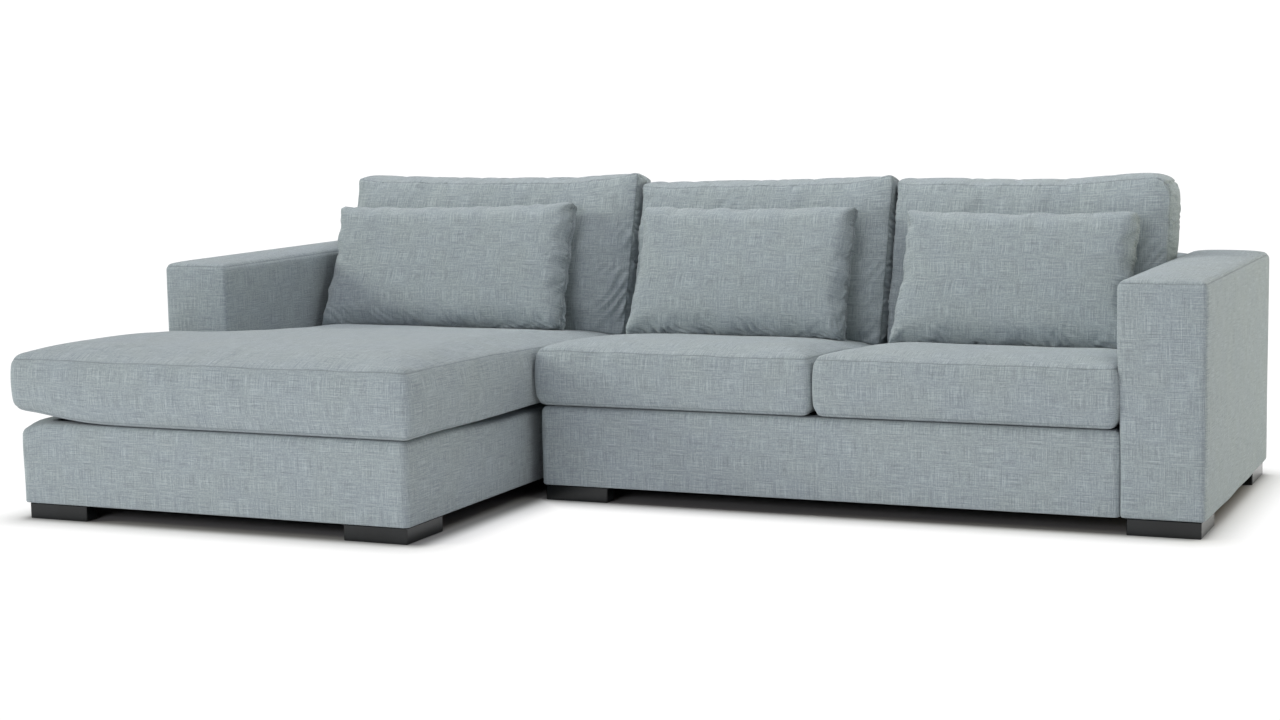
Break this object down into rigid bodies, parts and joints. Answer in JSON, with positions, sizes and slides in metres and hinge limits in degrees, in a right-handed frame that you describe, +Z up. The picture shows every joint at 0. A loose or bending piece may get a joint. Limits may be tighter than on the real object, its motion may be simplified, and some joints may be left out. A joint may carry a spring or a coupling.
{
  "type": "chaise sofa",
  "caption": "Sectional chaise sofa in blue-grey woven cloth with loose seat cushions, back cushions and pillows on L-shaped black corner feet",
  "frame": {"origin": "the centre of the bounding box at floor level, under the feet", "axes": "+X along the sofa's length to the viewer's right, the chaise at -X; +Y toward the back, so the front faces -Y; +Z up"},
  "size_m": [2.9164, 1.635, 0.8348],
  "materials": {
    "cover_cloth": "matte",
    "cushion_cloth": "matte",
    "pillow_cloth": "matte",
    "lining_cloth": "matte",
    "pine_timber": "matte",
    "black_lacquer": "gloss",
    "spring_steel": "satin",
    "zinc_steel": "satin"
  },
  "bodies": {
    "frame": {"chaise_back_cover": "cover_cloth", "chaise_back_frame": "pine_timber", "chaise_back_rail": "pine_timber", "chaise_base_cover": "cover_cloth", "chaise_cross_rail": "pine_timber", "chaise_deck_cloth": "lining_cloth", "chaise_dust_cover": "lining_cloth", "chaise_foot_front_left": "black_lacquer", "chaise_foot_front_right": "black_lacquer", "chaise_foot_rear_left": "black_lacquer", "chaise_foot_rear_right": "black_lacquer", "chaise_foot_screw_front_left": "zinc_steel", "chaise_foot_screw_front_right": "zinc_steel", "chaise_foot_screw_rear_left": "zinc_steel", "chaise_foot_screw_rear_right": "zinc_steel", "chaise_front_left_spring": "spring_steel", "chaise_front_rail": "pine_timber", "chaise_front_right_spring": "spring_steel", "chaise_left_rail": "pine_timber", "chaise_rear_left_spring": "spring_steel", "chaise_rear_right_spring": "spring_steel", "chaise_right_rail": "pine_timber", "left_arm_cover": "cover_cloth", "left_arm_frame": "pine_timber", "right_arm_cover": "cover_cloth", "right_arm_frame": "pine_timber", "seat_unit_back_cover": "cover_cloth", "seat_unit_back_frame": "pine_timber", "seat_unit_back_rail": "pine_timber", "seat_unit_base_cover": "cover_cloth", "seat_unit_cross_rail": "pine_timber", "seat_unit_deck_cloth": "lining_cloth", "seat_unit_dust_cover": "lining_cloth", "seat_unit_foot_front_left": "black_lacquer", "seat_unit_foot_front_right": "black_lacquer", "seat_unit_foot_rear_left": "black_lacquer", "seat_unit_foot_rear_right": "black_lacquer", "seat_unit_foot_screw_front_left": "zinc_steel", "seat_unit_foot_screw_front_right": "zinc_steel", "seat_unit_foot_screw_rear_left": "zinc_steel", "seat_unit_foot_screw_rear_right": "zinc_steel", "seat_unit_front_rail": "pine_timber", "seat_unit_left_rail": "pine_timber", "seat_unit_right_rail": "pine_timber", "seat_unit_spring_1": "spring_steel", "seat_unit_spring_2": "spring_steel", "seat_unit_spring_3": "spring_steel", "seat_unit_spring_4": "spring_steel", "unit_hook": "zinc_steel", "unit_socket": "zinc_steel"},
    "chaise_seat": {"chaise_seat_cushion": "cushion_cloth"},
    "chaise_back": {"chaise_back_cushion": "cushion_cloth"},
    "chaise_loose_pillow": {"chaise_pillow": "pillow_cloth"},
    "left_seat": {"left_seat_cushion": "cushion_cloth"},
    "left_back": {"left_back_cushion": "cushion_cloth"},
    "left_loose_pillow": {"left_pillow": "pillow_cloth"},
    "right_seat": {"right_seat_cushion": "cushion_cloth"},
    "right_back": {"right_back_cushion": "cushion_cloth"},
    "right_loose_pillow": {"right_pillow": "pillow_cloth"}
  },
  "joints": [
    {"name": "chaise_seat_lift", "type": "slide", "parent": "frame", "child": "chaise_seat", "axis": [0, 0, 1], "range_m": [0, 0.42]},
    {"name": "chaise_back_lift", "type": "slide", "parent": "chaise_seat", "child": "chaise_back", "axis": [0, 0, 1], "range_m": [0, 0.5]},
    {"name": "chaise_pillow_lift", "type": "slide", "parent": "chaise_back", "child": "chaise_loose_pillow", "axis": [0, -0.5, 0.866], "range_m": [0, 0.55]},
    {"name": "left_seat_lift", "type": "slide", "parent": "frame", "child": "left_seat", "axis": [0, 0, 1], "range_m": [0, 0.42]},
    {"name": "left_back_lift", "type": "slide", "parent": "left_seat", "child": "left_back", "axis": [0, 0, 1], "range_m": [0, 0.5]},
    {"name": "left_pillow_lift", "type": "slide", "parent": "left_back", "child": "left_loose_pillow", "axis": [0, -0.5, 0.866], "range_m": [0, 0.55]},
    {"name": "right_seat_lift", "type": "slide", "parent": "frame", "child": "right_seat", "axis": [0, 0, 1], "range_m": [0, 0.42]},
    {"name": "right_back_lift", "type": "slide", "parent": "right_seat", "child": "right_back", "axis": [0, 0, 1], "range_m": [0, 0.5]},
    {"name": "right_pillow_lift", "type": "slide", "parent": "right_back", "child": "right_loose_pillow", "axis": [0, -0.5, 0.866], "range_m": [0, 0.55]}
  ]
}
